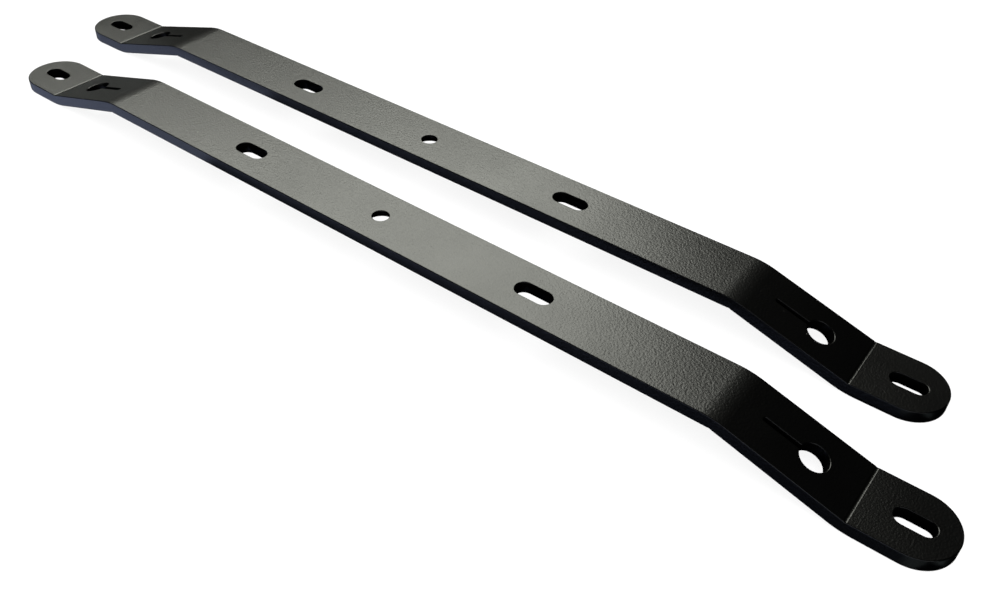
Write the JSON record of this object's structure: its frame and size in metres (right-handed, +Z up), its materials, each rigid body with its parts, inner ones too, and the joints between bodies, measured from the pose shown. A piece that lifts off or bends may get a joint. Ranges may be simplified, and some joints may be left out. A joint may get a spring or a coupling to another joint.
{
  "type": "bed cargo bar",
  "caption": "Matching black flat-bar cargo cross bars for a truck bed, with a raised middle, ramps with keyholes and slotted round-ended foot tabs.",
  "frame": {"origin": "centre of the pair's footprint, on the plane that the foot tabs stand on", "axes": "+X along the bars, +Y across them from the front bar to the rear bar, +Z up"},
  "size_m": [0.894, 0.1566, 0.0345],
  "materials": {
    "front_powder_coat": "satin black fine-textured powder coat over steel",
    "rear_powder_coat": "satin black fine-textured powder coat over steel"
  },
  "bodies": {
    "front": {"front_bar": "front_powder_coat"},
    "rear": {"rear_bar": "rear_powder_coat"}
  },
  "joints": [
    {"name": "rear_bar_lift", "type": "slide", "parent": "front", "child": "rear", "axis": [0, 0, 1], "range_m": [0, 0.08]}
  ]
}
